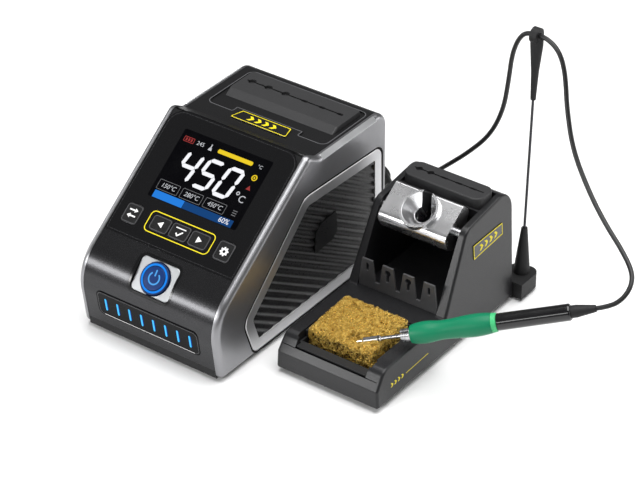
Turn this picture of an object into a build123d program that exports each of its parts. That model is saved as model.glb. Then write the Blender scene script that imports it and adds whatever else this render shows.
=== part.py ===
from build123d import *
import math
import os

os.makedirs("parts", exist_ok=True)

# ------------------------------------------------------------------ driving dimensions (mm, degrees)
# Places.  The floor is z = 0.  "y" below is always measured from the lower edge of the display glass.
console_x = -88.5            # middle plane of the console
edge_y = -75.3               # lower edge of the display glass
stand_gap = 102.9            # console middle to stand middle

# Console
console_width = 102.0
core_half = 46.6             # half width of fascia, glass and cap
shell_inner = 46.8           # inner face of the side shells
nose_y = -21.2               # foremost line of the fascia
edge_z = 60.0                # height of the glass's lower edge
slope = 35.9                 # tilt of the display glass
glass_length = 82.9
glass_thick = 1.6
corner_radius = 10.5
cap_z = 103.6                # flat top behind the display
rear_y = 144.5
wall = 2.4
base_z = 2.0                 # underside of the base pan, on its feet
gap_z = 7.8                  # seam between base pan and fascia
nose_radius = 28.0

# Keys and button
key_travel = 0.8
key_proud = 0.2
key_thick = 3.0
button_radius = 9.6
power_tilt = 49.0
power_y = -11.6
power_z = 49.2

# Stand
stand_half = 35.5
stand_front = 12.0
stand_rear = 151.0
deck_z = 25.0
cheek = 8.0
draft_angle = 2.8
recess_half = 25.6
tray_front = 19.5
tray_rear = 66.0
lip_z = 20.0
plate_y = 82.6
holder_half = 23.2
pivot_y = 106.0
pivot_z = 67.0

# Iron, from the tip backwards
tip_point = (108.4, 33.5, 25.0)
iron_way = (0.862, 0.4215, 0.283)
grip_start = 32.0
grip_end = 82.0
tube_end = 124.0
iron_length = 138.0

# Cord
cord_d = 2.8
coil_x = -8.0
coil_y = 200.0
coil_radius = 17.0
plug_x = -28.0
plug_z = 20.0
plug_end = 171.0
eye_point = (137.6, 164.0, 172.6)

stand_x = console_x + stand_gap
side = Plane((console_x, edge_y, 0), x_dir=(0, 1, 0), z_dir=(1, 0, 0))
stand_side = Plane((stand_x, edge_y, 0), x_dir=(0, 1, 0), z_dir=(1, 0, 0))
sin_s = math.sin(math.radians(slope))
cos_s = math.cos(math.radians(slope))
glass_plane = Plane((console_x, edge_y, edge_z), x_dir=(1, 0, 0), z_dir=(0, -sin_s, cos_s))
top_y = glass_length * cos_s
top_z = edge_z + glass_length * sin_s
foot_y = -17.3
floor_plane = Plane((console_x, edge_y, 0))
stand_floor = Plane((stand_x, edge_y, 0))
LOW = (Align.CENTER, Align.CENTER, Align.MIN)


def keep(piece, name):
    """Label a finished piece and write its file."""
    piece.part.label = name
    export_step(piece.part, f"parts/{name}.step")


def place(point):
    """A point given from the console's middle and the glass's lower edge, in the model's frame."""
    return (point[0] + console_x, point[1] + edge_y, point[2])


def box_at(low, high):
    """A box between two corners, both measured from the plane the part is built on."""
    middle = [(a + b) / 2 for a, b in zip(low, high)]
    with Locations(tuple(middle)):
        Box(high[0] - low[0], high[1] - low[1], high[2] - low[2])


# ------------------------------------------------------------------ console: fascia
corner_y = nose_y - 1.4
slope_corner = (corner_y, edge_z + corner_y * sin_s / cos_s)


def fascia_line(inset):
    """The fascia's section, from the glass down over the nose, a distance inside the outer face."""
    tilt = math.radians(slope)
    start = (inset * math.sin(tilt) - 0.1, edge_z - 0.1 - inset * math.cos(tilt))
    corner = (slope_corner[0] + inset, slope_corner[1] - inset * 0.55)
    FilletPolyline(start, corner, (foot_y + inset, gap_z + 0.2), radius=nose_radius - inset)


power_plane = Plane(
    place((0, power_y, power_z)),
    x_dir=(1, 0, 0),
    z_dir=(0, -math.sin(math.radians(power_tilt)), math.cos(math.radians(power_tilt))),
)
led_tilt = 81.5
led_plane = Plane(
    place((0, -19.7, 23.2)),
    x_dir=(1, 0, 0),
    z_dir=(0, -math.sin(math.radians(180 - led_tilt)), math.cos(math.radians(180 - led_tilt))),
)
led_size = (75.0, 18.0)

with BuildPart() as fascia:
    with BuildSketch(side):
        with BuildLine():
            fascia_line(wall / 2)
        trace(line_width=wall)
    extrude(amount=core_half, both=True)
    with BuildSketch(power_plane.offset(-6)):
        RectangleRounded(31.4, 24.4, 5)
    extrude(amount=16, mode=Mode.SUBTRACT)
    with BuildSketch(led_plane.offset(-6)):
        RectangleRounded(*led_size, 4)
    extrude(amount=12, mode=Mode.SUBTRACT)
keep(fascia, "fascia")

plate_top = -0.4
plate_thick_power = 1.2
with BuildPart() as power_bezel:
    with BuildSketch(power_plane.offset(-4.4)):
        RectangleRounded(31.0, 24.0, 4.8)
    extrude(amount=8.0)
    with BuildSketch(side):
        with BuildLine():
            nose_start = (6, edge_z + 6 * sin_s / cos_s)
            face_line = FilletPolyline(nose_start, slope_corner, (foot_y, 8), radius=nose_radius)
            Polyline(face_line @ 1, (20, 8), face_line @ 0)
        make_face()
    extrude(amount=20, both=True, mode=Mode.INTERSECT)
    with BuildSketch(power_plane.offset(plate_top - plate_thick_power)):
        RectangleRounded(28.2, 21.2, 3.4)
    extrude(amount=8, mode=Mode.SUBTRACT)
    with BuildSketch(power_plane.offset(-8)):
        Circle(button_radius + 0.3)
    extrude(amount=10, mode=Mode.SUBTRACT)
keep(power_bezel, "power_bezel")

with BuildPart() as power_plate:
    with BuildSketch(power_plane.offset(plate_top - plate_thick_power)):
        RectangleRounded(27.8, 20.8, 3.2)
        Circle(button_radius + 0.3, mode=Mode.SUBTRACT)
    extrude(amount=plate_thick_power)
keep(power_plate, "power_plate")

with BuildPart() as power_ring:
    with BuildSketch(power_plane.offset(-3.4)):
        Circle(button_radius)
        Circle(7.2, mode=Mode.SUBTRACT)
    extrude(amount=4.4)
keep(power_ring, "power_ring")

with BuildPart() as power_button:
    with BuildSketch(power_plane.offset(-5.2)):
        Circle(7.15)
    extrude(amount=6.4)
    fillet(power_button.faces().sort_by(Axis((0, 0, 0), power_plane.z_dir))[-1].edges(), 0.5)
keep(power_button, "power_button")

bar_pitch = 8.8
with BuildPart() as led_panel:
    with BuildSketch(led_plane.offset(-2.0)):
        RectangleRounded(led_size[0] - 0.5, led_size[1] - 0.5, 3.8)
        with GridLocations(bar_pitch, 1, 8, 1):
            SlotOverall(8.6, 2.0, rotation=90, mode=Mode.SUBTRACT)
    extrude(amount=2.0)
keep(led_panel, "led_panel")

with BuildPart() as led_bars:
    with BuildSketch(led_plane.offset(-3.0)):
        with GridLocations(bar_pitch, 1, 8, 1):
            SlotOverall(8.5, 1.9, rotation=90)
    extrude(amount=3.1)
keep(led_bars, "led_bars")

# ------------------------------------------------------------------ console: display
single_keys = {"key_channel": (-34.5, 13.8), "key_settings": (32.4, 13.8)}
bank_keys = {"key_left": (-13.9, 14.2), "key_mode": (0.1, 14.2), "key_right": (14.1, 14.2)}
single_size = (11.2, 12.2)
bank_size = (13.2, 9.8)


def key_openings(gap):
    """The clear openings for the five keys, in a sketch on the glass's plane."""
    for spot in single_keys.values():
        with Locations(spot):
            RectangleRounded(single_size[0] + gap, single_size[1] + gap, 2.6, mode=Mode.SUBTRACT)
    for spot in bank_keys.values():
        with Locations(spot):
            RectangleRounded(bank_size[0] + gap, bank_size[1] + gap, 2.2, mode=Mode.SUBTRACT)


with BuildPart() as display_glass:
    with BuildSketch(glass_plane.offset(-glass_thick)):
        with Locations((0, glass_length / 2)):
            sheet = Rectangle(2 * core_half, glass_length)
        fillet(sheet.vertices().group_by(Axis.Y)[-1], corner_radius)
        key_openings(0.4)
    extrude(amount=glass_thick)
keep(display_glass, "display_glass")

frame_thick = 2.2
lcd_middle = (0, 50.4)
with BuildPart() as front_frame:
    with BuildSketch(glass_plane.offset(-glass_thick - frame_thick)):
        with Locations((0, 40.6)):
            Rectangle(2 * core_half, 80)
        with Locations(lcd_middle):
            RectangleRounded(66, 47, 1.5, mode=Mode.SUBTRACT)
        key_openings(0.5)
    extrude(amount=frame_thick)
    with BuildSketch(glass_plane.offset(-glass_thick)):
        for way in (-1, 1):
            with Locations((way * (core_half - corner_radius / 2), glass_length - corner_radius / 2 - 0.45)):
                Rectangle(corner_radius, corner_radius - 0.9)
            with Locations((way * (core_half - corner_radius), glass_length - corner_radius)):
                Circle(corner_radius + 0.1, mode=Mode.SUBTRACT)
    extrude(amount=glass_thick - 0.25)
keep(front_frame, "front_frame")

with BuildPart() as lcd_module:
    with BuildSketch(glass_plane.offset(-glass_thick - 5.2)):
        with Locations(lcd_middle):
            RectangleRounded(65, 46, 1.0)
    extrude(amount=5.1)
keep(lcd_module, "lcd_module")


def make_key(name, spot, size):
    """One key: a rounded cap through the glass, on a stem that reaches towards its switch."""
    with BuildPart() as key:
        with BuildSketch(glass_plane.offset(key_proud - key_thick)):
            with Locations(spot):
                RectangleRounded(*size, 2.0)
        extrude(amount=key_thick)
        top = key.faces().sort_by(Axis((0, 0, 0), glass_plane.z_dir))[-1]
        fillet(top.edges(), 0.35)
        with BuildSketch(glass_plane.offset(key_proud - key_thick - 1.6)):
            with Locations(spot):
                Circle(1.8)
        extrude(amount=1.8)
    keep(key, name)


for key_name, key_spot in single_keys.items():
    make_key(key_name, key_spot, single_size)
for key_name, key_spot in bank_keys.items():
    make_key(key_name, key_spot, bank_size)

board_top = key_proud - key_thick - 1.6 - key_travel - 2.0
with BuildPart() as control_board:
    with BuildSketch(glass_plane.offset(board_top - 1.6)):
        with Locations((0, 14.5)):
            Rectangle(86, 19)
    extrude(amount=1.6)
    with BuildSketch(glass_plane.offset(board_top)):
        with Locations(*single_keys.values(), *bank_keys.values()):
            Rectangle(5, 5)
    extrude(amount=1.8)
keep(control_board, "control_board")

# ------------------------------------------------------------------ console: cap and side shells
cap_start = (top_y + 1.6, top_z - 0.6)
cap_shift = 2.0
pad_half = 39.4
pad_top = cap_z + 2.4
pad_low = cap_z - 0.7
with BuildPart() as main_shell:
    with BuildSketch(side):
        with BuildLine():
            FilletPolyline(
                (cap_start[0], cap_start[1] - wall / 2 - 0.4),
                (cap_start[0] + 8.4, cap_z - wall / 2),
                (rear_y - wall / 2, cap_z - wall / 2),
                (rear_y - wall / 2, 84),
                radius=[3, 9],
            )
        trace(line_width=wall)
    extrude(amount=core_half, both=True)
    with BuildSketch(floor_plane.offset(cap_z - 0.8)):
        with Locations((cap_shift, 111.5)):
            RectangleRounded(85, 43, 4)
        with Locations((cap_shift, 90)):
            Rectangle(48, 9.6, mode=Mode.SUBTRACT)
    extrude(amount=3, mode=Mode.SUBTRACT)
keep(main_shell, "main_shell")

pad_slot_y = 120.0
with BuildPart() as cap_pad:
    with BuildSketch(side):
        with BuildLine():
            Polyline((102.4, pad_low), (107.4, pad_top), (130, pad_top), (130.6, pad_low), close=True)
        make_face()
    extrude(amount=pad_half, both=True)
    fillet(cap_pad.edges().filter_by(lambda e: e.length < 12), 1.2)
    with BuildSketch(floor_plane.offset(cap_z + 0.6)):
        with Locations((-32.2, pad_slot_y), (-20.1, pad_slot_y), (-7.6, pad_slot_y)):
            Circle(2.5)
        with Locations((-1.5, pad_slot_y)):
            SlotOverall(69, 1.2)
        with Locations((6.5, pad_slot_y), (19.2, pad_slot_y), (32, pad_slot_y)):
            SlotOverall(4.4, 2.2)
    extrude(amount=3, mode=Mode.SUBTRACT)
cap_pad.part.position = cap_pad.part.position + (cap_shift, 0, 0)
keep(cap_pad, "cap_pad")

with BuildPart() as cap_badge:
    with BuildSketch(floor_plane.offset(cap_z + 0.02)):
        with BuildLine():
            badge_line = [(-20, 83.0), (20, 83.0), (17.6, 92.0), (-17.6, 92.0)]
            Polyline(*((x + cap_shift, y) for x, y in badge_line), close=True)
        make_face()
    extrude(amount=0.8)
keep(cap_badge, "cap_badge")

edge_round = 3.6
boss_points = [(72.0, 41.0), (73.0, 54.0), (79.0, 58.5), (92.5, 59.5), (94.0, 45.5), (90.0, 42.0)]
window_points = [(12.6, 4.2), (3.6, 29.8), (62.7, 85.0), (139.0, 81.8), (140.6, 4.2)]
window_radii = [6, 10, 12, 7, 6]
outline_points = [
    (foot_y + 0.6, base_z + 0.4), slope_corner,
    (top_y + 0.6, top_z + 0.5), (top_y + 10, cap_z), (rear_y, cap_z), (rear_y, base_z + 0.4),
]
outline_radii = [4, nose_radius, 5, 8, 10, 4]


frame_width = 7.2
frame_depth = 2.4
strip_long = 53.0
strip_middle = 106.4


def side_plane(way, distance):
    """The plane at a distance from the middle, on the right (1) or the left (-1)."""
    return side.offset(way * distance)


def strip_plane(way):
    """The 45 degree plane of the bright strip on the upper edge of a side shell."""
    seat = shell_inner + 0.6 + edge_round * math.sin(math.radians(45))
    height = cap_z - edge_round * (1 - math.sin(math.radians(45)))
    return Plane(place((way * seat, strip_middle, height)), x_dir=(0, 1, 0), z_dir=(way, 0, 1))


for way, word in ((-1, "left"), (1, "right")):
    with BuildPart() as side_shell:
        with BuildSketch(side_plane(way, shell_inner)):
            with BuildLine():
                FilletPolyline(*outline_points, radius=outline_radii, close=True)
            make_face()
        extrude(amount=way * (console_width / 2 - shell_inner))
        rim = side_shell.faces().sort_by(Axis.X)[-1 if way > 0 else 0]
        fillet(rim.edges(), edge_round)
        with BuildSketch(side_plane(way, console_width / 2 - frame_depth)):
            with BuildLine():
                FilletPolyline(*window_points, radius=window_radii, close=True)
            make_face()
        extrude(amount=way * 5, mode=Mode.SUBTRACT)
        with BuildSketch(strip_plane(way).offset(-0.95)):
            RectangleRounded(strip_long + 0.2, 4.0, 0.6)
        extrude(amount=3, mode=Mode.SUBTRACT)
    keep(side_shell, f"side_shell_{word}")

    with BuildPart() as trim_frame:
        with BuildSketch(side_plane(way, console_width / 2 - frame_depth)):
            with BuildLine():
                FilletPolyline(*window_points, radius=window_radii, close=True)
            make_face()
            offset(amount=-0.6, mode=Mode.REPLACE)
            offset(amount=-frame_width, mode=Mode.SUBTRACT)
        extrude(amount=way * frame_depth)
    keep(trim_frame, f"trim_frame_{word}")

    with BuildPart() as ribbed_panel:
        with BuildSketch(side_plane(way, console_width / 2 - frame_depth)):
            with BuildLine():
                FilletPolyline(*window_points, radius=window_radii, close=True)
            make_face()
            offset(amount=-frame_width - 0.7, mode=Mode.REPLACE)
        extrude(amount=way * 1.0)
        with BuildSketch(side_plane(way, console_width / 2 - frame_depth + 0.9)) as ribs:
            with Locations(Location((75, 40), -32)):
                with GridLocations(1, 4.8, 1, 30):
                    Rectangle(220, 2.6)
            with BuildSketch(mode=Mode.INTERSECT):
                with BuildLine():
                    FilletPolyline(*window_points, radius=window_radii, close=True)
                make_face()
                offset(amount=-frame_width - 1.4, mode=Mode.REPLACE)
        extrude(amount=way * 0.9)
        with BuildSketch(side_plane(way, console_width / 2 - frame_depth)):
            with BuildLine():
                Polyline(*boss_points, close=True)
            make_face()
        extrude(amount=way * 2.3)
    keep(ribbed_panel, f"ribbed_panel_{word}")

with BuildPart() as top_trims:
    for way in (-1, 1):
        with BuildSketch(strip_plane(way).offset(-0.93)):
            RectangleRounded(strip_long, 3.8, 0.5)
        extrude(amount=0.9)
keep(top_trims, "top_trims")

# ------------------------------------------------------------------ console: base, rear and inside
pan_front = foot_y + 0.4
with BuildPart(floor_plane) as base_pan:
    box_at((-core_half, pan_front, base_z), (core_half, rear_y - 0.1, base_z + wall))
    box_at((-core_half, pan_front, base_z), (core_half, pan_front + wall, gap_z))
    box_at((-core_half, rear_y - wall, base_z), (core_half, rear_y - 0.1, gap_z))
    with Locations((0, 66, base_z + wall)):
        with GridLocations(74, 112, 2, 2):
            Cylinder(3, 7.6, align=LOW)
    fillet(base_pan.edges().filter_by(Axis.X).group_by(Axis.Z)[0], 1.0)
keep(base_pan, "base_pan")

with BuildPart(floor_plane) as console_feet:
    with Locations((0, 64, 0)):
        with GridLocations(74, 130, 2, 2):
            Cylinder(6, base_z, align=LOW)
keep(console_feet, "console_feet")

board_z = base_z + wall + 7.6
with BuildPart(floor_plane) as main_board:
    box_at((-42, 4, board_z), (42, 130, board_z + 1.6))
    with Locations((-28, 100, board_z + 1.6), (-28, 82, board_z + 1.6), (-28, 64, board_z + 1.6)):
        Cylinder(7, 26, align=LOW)
    box_at((20, 20, board_z + 1.6), (34, 34, board_z + 4))
keep(main_board, "main_board")

with BuildPart(floor_plane) as transformer:
    box_at((-8, 62, board_z + 1.8), (26, 92, board_z + 5))
    box_at((-3, 66, board_z + 5), (21, 88, board_z + 25))
    box_at((-8, 62, board_z + 25), (26, 92, board_z + 28))
    fillet(transformer.edges().filter_by(Axis.Z), 1.5)
keep(transformer, "transformer")

with BuildPart(floor_plane) as heat_sink:
    box_at((-10, 100, board_z + 1.8), (34, 104, board_z + 34))
    with Locations((12, 110, board_z + 18)):
        with GridLocations(6, 1, 8, 1):
            Box(1.4, 14, 32)
keep(heat_sink, "heat_sink")

inlet_x = 22.0
inlet_z = 34.0
with BuildPart(floor_plane) as rear_panel:
    box_at((-core_half, rear_y - 1.9, gap_z + 0.2), (core_half, rear_y - 0.1, 83.8))
    with BuildSketch(Plane(place((0, rear_y + 4, 0)), x_dir=(-1, 0, 0), z_dir=(0, 1, 0))):
        with Locations((-plug_x, plug_z)):
            Circle(7.2)
        with Locations((0, 64)):
            with GridLocations(7, 6, 9, 4):
                SlotOverall(5.2, 2.2)
        with Locations((-inlet_x, inlet_z)):
            RectangleRounded(28.4, 20.4, 2)
    extrude(amount=-12, mode=Mode.SUBTRACT)
keep(rear_panel, "rear_panel")

with BuildPart(floor_plane) as iec_inlet:
    with BuildSketch(Plane(place((inlet_x, rear_y - 16, inlet_z)), x_dir=(-1, 0, 0), z_dir=(0, 1, 0))):
        RectangleRounded(28, 20, 2)
    extrude(amount=15.8)
    with BuildSketch(Plane(place((inlet_x, rear_y - 0.1, inlet_z)), x_dir=(-1, 0, 0), z_dir=(0, 1, 0))):
        RectangleRounded(33, 25, 3)
    extrude(amount=2.2)
    with BuildSketch(Plane(place((inlet_x, rear_y + 2.1, inlet_z)), x_dir=(-1, 0, 0), z_dir=(0, 1, 0))):
        with BuildLine():
            Polyline((-12, -8), (12, -8), (12, 4), (8.5, 8), (-8.5, 8), (-12, 4), close=True)
        make_face()
    extrude(amount=-15, mode=Mode.SUBTRACT)
    with BuildSketch(Plane(place((inlet_x, rear_y - 13.5, inlet_z)), x_dir=(-1, 0, 0), z_dir=(0, 1, 0))):
        with Locations((-7, -2), (0, 2.2), (7, -2)):
            Rectangle(2, 4)
    extrude(amount=12)
keep(iec_inlet, "iec_inlet")

plug_plane = Plane(place((plug_x, rear_y, plug_z)), x_dir=(-1, 0, 0), z_dir=(0, 1, 0))
with BuildPart() as handle_socket:
    with BuildSketch(plug_plane.offset(-9)):
        Circle(7.0)
    extrude(amount=9.0)
    with BuildSketch(plug_plane):
        Circle(9.0)
    extrude(amount=2.0)
    with BuildSketch(plug_plane.offset(2.0)):
        Circle(5.0)
    extrude(amount=-8.0, mode=Mode.SUBTRACT)
keep(handle_socket, "handle_socket")

with BuildPart() as rear_screws:
    with BuildSketch(Plane(place((0, rear_y - 0.1, 45)), x_dir=(-1, 0, 0), z_dir=(0, 1, 0))):
        with GridLocations(84, 68, 2, 2):
            Circle(2.6)
    extrude(amount=1.4)
keep(rear_screws, "rear_screws")

# ------------------------------------------------------------------ stand
lean = math.tan(math.radians(draft_angle))
body_points = [
    (stand_front, 3.0), (stand_front, 14.5), (tray_front, deck_z), (plate_y - 2.6, deck_z),
    (103.0, 72.0), (stand_rear, 78.6), (stand_rear, 3.0),
]
body_radii = [1.0, 2.0, 7.0, 2.0, 8.0, 12.0, 1.0]

with BuildPart() as stand_shell:
    with BuildSketch(stand_side):
        with BuildLine():
            FilletPolyline(*body_points, radius=body_radii, close=True)
        make_face()
    extrude(amount=stand_half, both=True)
    for way in (-1, 1):
        with BuildSketch(Plane((stand_x, edge_y + 80, 0), x_dir=(1, 0, 0), z_dir=(0, -1, 0))):
            with BuildLine():
                Polyline(
                    (way * stand_half, 0), (way * (stand_half - 90 * lean), 90),
                    (way * (stand_half + 9), 90), (way * (stand_half + 9), 0), close=True,
                )
            make_face()
        extrude(amount=100, both=True, mode=Mode.SUBTRACT)
    rims = stand_shell.faces().sort_by(Axis.X)
    fillet(rims[-1].edges() + rims[0].edges(), 1.6)
    inner = stand_half - cheek
    with BuildSketch(stand_side):
        with BuildLine():
            Polyline(
                (60, deck_z), (plate_y + 0.1, deck_z), (plate_y + 0.1, 22.0), (stand_rear - 3.4, 22.0),
                (stand_rear - 3.4, 69.6), (121.0, 69.6), (121.0, 95), (60, 95), close=True,
            )
        make_face()
    extrude(amount=inner, both=True, mode=Mode.SUBTRACT)
    with BuildSketch(stand_side):
        with BuildLine():
            Polyline((122.4, 73.0), (122.4, 90), (140.4, 90), (140.4, 73.0), close=True)
        make_face()
    extrude(amount=inner, both=True, mode=Mode.SUBTRACT)
    with BuildSketch(stand_floor.offset(2.0)):
        with Locations((0, (stand_front + stand_rear) / 2)):
            Rectangle(2 * stand_half - 6.4, stand_rear - stand_front - 6)
    extrude(amount=17.0, mode=Mode.SUBTRACT)
    with BuildSketch(stand_floor.offset(5)):
        with Locations((0, (tray_front + tray_rear) / 2)):
            Rectangle(2 * recess_half, tray_rear - tray_front)
    extrude(amount=40, mode=Mode.SUBTRACT)
    with BuildSketch(stand_floor.offset(lip_z - 1.2)):
        with Locations((0, 16)):
            Rectangle(2 * recess_half - 2.6, 12)
    extrude(amount=20, mode=Mode.SUBTRACT)
keep(stand_shell, "stand_shell")

lug_x = 32.5
with BuildPart(stand_floor) as stand_base:
    box_at((-32.0, stand_front + 3.2, 1.5), (32.0, stand_rear - 3.2, 4.0))
    with Locations((lug_x, stand_rear + 0.2, 2.0)):
        Box(17, 20.4, 10, align=(Align.CENTER, Align.MIN, Align.MIN))
    with Locations((lug_x - 4.5, stand_rear - 4, 2.6)):
        Box(8, 12, 0.39, align=(Align.CENTER, Align.MIN, Align.MIN))
    fillet(stand_base.edges().filter_by(Axis.Z).group_by(Axis.Y)[-1], 6)
keep(stand_base, "stand_base")

with BuildPart(stand_floor) as stand_feet:
    with Locations((0, 81, 0)):
        with GridLocations(50, 116, 2, 2):
            Cylinder(5, 1.5, align=LOW)
    with Locations((lug_x, stand_rear + 11, 0)):
        Cylinder(5, 2.0, align=LOW)
keep(stand_feet, "stand_feet")

with BuildPart(stand_floor) as stand_weight:
    box_at((-30, 74, 4.1), (30, 140, 14.0))
keep(stand_weight, "stand_weight")

tray_half = recess_half - 0.4
tray_floor = 9.6
sheet_thick = 1.2
with BuildPart(stand_floor) as wool_tray:
    box_at((-tray_half, tray_front + 0.6, tray_floor), (tray_half, tray_rear - 0.4, deck_z - 0.6))
    hollow_low = (-tray_half + sheet_thick, tray_front + 0.6 + sheet_thick, tray_floor + sheet_thick)
    hollow_high = (tray_half - sheet_thick, tray_rear - 0.4 - sheet_thick, deck_z + 5)
    with Locations(tuple((a + b) / 2 for a, b in zip(hollow_low, hollow_high))):
        Box(*(b - a for a, b in zip(hollow_low, hollow_high)), mode=Mode.SUBTRACT)
    with Locations((0, tray_front, lip_z)):
        Box(90, 14, 20, align=LOW, mode=Mode.SUBTRACT)
    box_at((-tray_half + 1.4, 16.0, lip_z - sheet_thick + 0.1), (tray_half - 1.4, tray_front + 2.4, lip_z))
keep(wool_tray, "wool_tray")

tip_plane = Plane(place(tip_point), x_dir=(-iron_way[1], iron_way[0], 0), z_dir=iron_way)
wool_low = tray_floor + sheet_thick + 0.05
with BuildPart() as brass_wool:
    with BuildSketch(stand_side):
        with BuildLine():
            Polyline((26.5, wool_low), (63.6, wool_low), (63.6, 30.6), (26.5, 28.2), close=True)
        make_face()
    extrude(amount=21.7, both=True)
    brass_wool.part.position = brass_wool.part.position + (-1.9, 0, 0)
    fillet(brass_wool.edges().filter_by(Axis.Z), 4)
    fillet(brass_wool.faces().sort_by(Axis.Z)[-1].edges(), 2.0)
    with BuildSketch(tip_plane.offset(-0.6)):
        Circle(3.0)
        with Locations((0, 6)):
            Rectangle(6, 12)
    extrude(amount=30, mode=Mode.SUBTRACT)
keep(brass_wool, "brass_wool")

tab_pitch = 14.3
plate_thick = 1.2
plate_plane = Plane((stand_x, edge_y + plate_y - plate_thick, 0), x_dir=(1, 0, 0), z_dir=(0, -1, 0))
with BuildPart() as tip_plate:
    with BuildSketch(plate_plane):
        with BuildLine():
            corners = [(-27.2, 25.1)]
            for number in range(4):
                middle = (number - 1.5) * tab_pitch
                corners += [(middle - 5.7, 30.0), (middle - 3.7, 44.0)]
                corners += [(middle + 3.7, 44.0), (middle + 5.7, 30.0)]
            corners += [(27.2, 25.1)]
            Polyline(*corners, close=True)
        make_face()
        with GridLocations(tab_pitch, 1, 2, 1):
            with Locations((0, 39.6)):
                Circle(2.0, mode=Mode.SUBTRACT)
            with Locations((0, 36.4)):
                SlotOverall(6.0, 2.0, rotation=90, mode=Mode.SUBTRACT)
        with Locations((-1.5 * tab_pitch, 38.8), (1.5 * tab_pitch, 38.8)):
            SlotOverall(5.4, 1.8, rotation=90, mode=Mode.SUBTRACT)
    extrude(amount=-plate_thick)
keep(tip_plate, "tip_plate")

# The iron holder: an aluminium block that tilts between the cheeks.
holder_tilt = 34.0
cup_plane = Plane(
    (stand_x, edge_y + 102.4, 75.2),
    x_dir=(1, 0, 0),
    z_dir=(0, -math.sin(math.radians(holder_tilt)), math.cos(math.radians(holder_tilt))),
)
cup_proud = 1.8
holder_points = [(92.6, 67.6), (112.6, 81.4), (118.4, 76.0), (114.0, 58.5), (98.5, 55.5)]
holder_radii = [5, 1.5, 4, 9, 8]
with BuildPart() as holder:
    with BuildSketch(stand_side):
        with BuildLine():
            FilletPolyline(*holder_points, radius=holder_radii, close=True)
        make_face()
    extrude(amount=holder_half, both=True)
    with BuildSketch(cup_plane.offset(-6)):
        Circle(12.0)
    extrude(amount=6 + cup_proud)
    with BuildSketch(cup_plane.offset(-40)):
        Circle(5.0)
    extrude(amount=60, mode=Mode.SUBTRACT)
    with BuildSketch(cup_plane.offset(cup_proud)):
        Circle(10.4)
    with BuildSketch(cup_plane.offset(cup_proud - 8)):
        Circle(5.2)
    loft(mode=Mode.SUBTRACT)
    with BuildSketch(cup_plane.offset(-40)):
        with Locations((0, 15)):
            Rectangle(6.4, 30)
    extrude(amount=60, mode=Mode.SUBTRACT)
    with BuildSketch(Plane((stand_x, edge_y + pivot_y, pivot_z), x_dir=(0, 1, 0), z_dir=(1, 0, 0))):
        Circle(2.55)
    extrude(amount=holder_half + 1, both=True, mode=Mode.SUBTRACT)
keep(holder, "holder")

with BuildPart() as holder_pins:
    for way in (-1, 1):
        start = way * (holder_half - 8.0)
        pin_start = (stand_x + start, edge_y + pivot_y, pivot_z)
        with BuildSketch(Plane(pin_start, x_dir=(0, 1, 0), z_dir=(way, 0, 0))):
            Circle(2.5)
        extrude(amount=stand_half - cheek - holder_half + 8.0)
keep(holder_pins, "holder_pins")

pad_y = (123.0, 139.6)
with BuildPart(stand_floor) as stand_pad:
    box_at((-27.2, pad_y[0], 73.1), (27.2, pad_y[1], 80.6))
    fillet(stand_pad.edges().filter_by(Axis.Z), 5.5)
    fillet(stand_pad.faces().sort_by(Axis.Z)[-1].edges(), 0.8)
    with BuildSketch(stand_floor.offset(78.4)):
        with Locations((-20.5, 132), (-12.6, 132)):
            Circle(2.0)
        with Locations((0, 132)):
            SlotOverall(48, 1.1)
        with Locations((-3, 132), (7, 132), (17, 132)):
            SlotOverall(5, 1.8)
    extrude(amount=4, mode=Mode.SUBTRACT)
keep(stand_pad, "stand_pad")

with BuildPart() as side_badge:
    badge_place = (stand_x + stand_half - 59.5 * lean, edge_y, 59.5)
    badge_normal = (math.cos(math.radians(draft_angle)), 0, math.sin(math.radians(draft_angle)))
    with BuildSketch(Plane(badge_place, x_dir=(0, 1, 0), z_dir=badge_normal)):
        with BuildLine():
            Polyline((109.0, 0), (139.0, 0.2), (139.4, -7.6), (109.4, -9.4), close=True)
        make_face()
    extrude(amount=0.4)
keep(side_badge, "side_badge")

# The cord rod: a spring-steel rod in a rubber boot, with a silicone clip on its top.
rod_x = stand_gap + lug_x
rod_foot = (rod_x, stand_rear + 13.0, 12.0)
boot_top = 43.0
clip_start = 131.0
rod_lean = 1.0
rod_way = (math.sin(math.radians(rod_lean)), 0, math.cos(math.radians(rod_lean)))
rod_plane = Plane(place(rod_foot), x_dir=(0, 1, 0), z_dir=rod_way)

with BuildPart() as rod_boot:
    with BuildSketch(rod_plane.offset(0.1)):
        Circle(5.0)
    with BuildSketch(rod_plane.offset(boot_top - 12)):
        Circle(1.9)
    loft()
    with BuildSketch(rod_plane.offset(8)):
        Circle(0.82)
    extrude(amount=40, mode=Mode.SUBTRACT)
keep(rod_boot, "rod_boot")

with BuildPart() as cord_rod:
    with BuildSketch(rod_plane.offset(8.1)):
        Circle(0.8)
    extrude(amount=clip_start - 12 + 6 - 8.1)
keep(cord_rod, "cord_rod")

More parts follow.
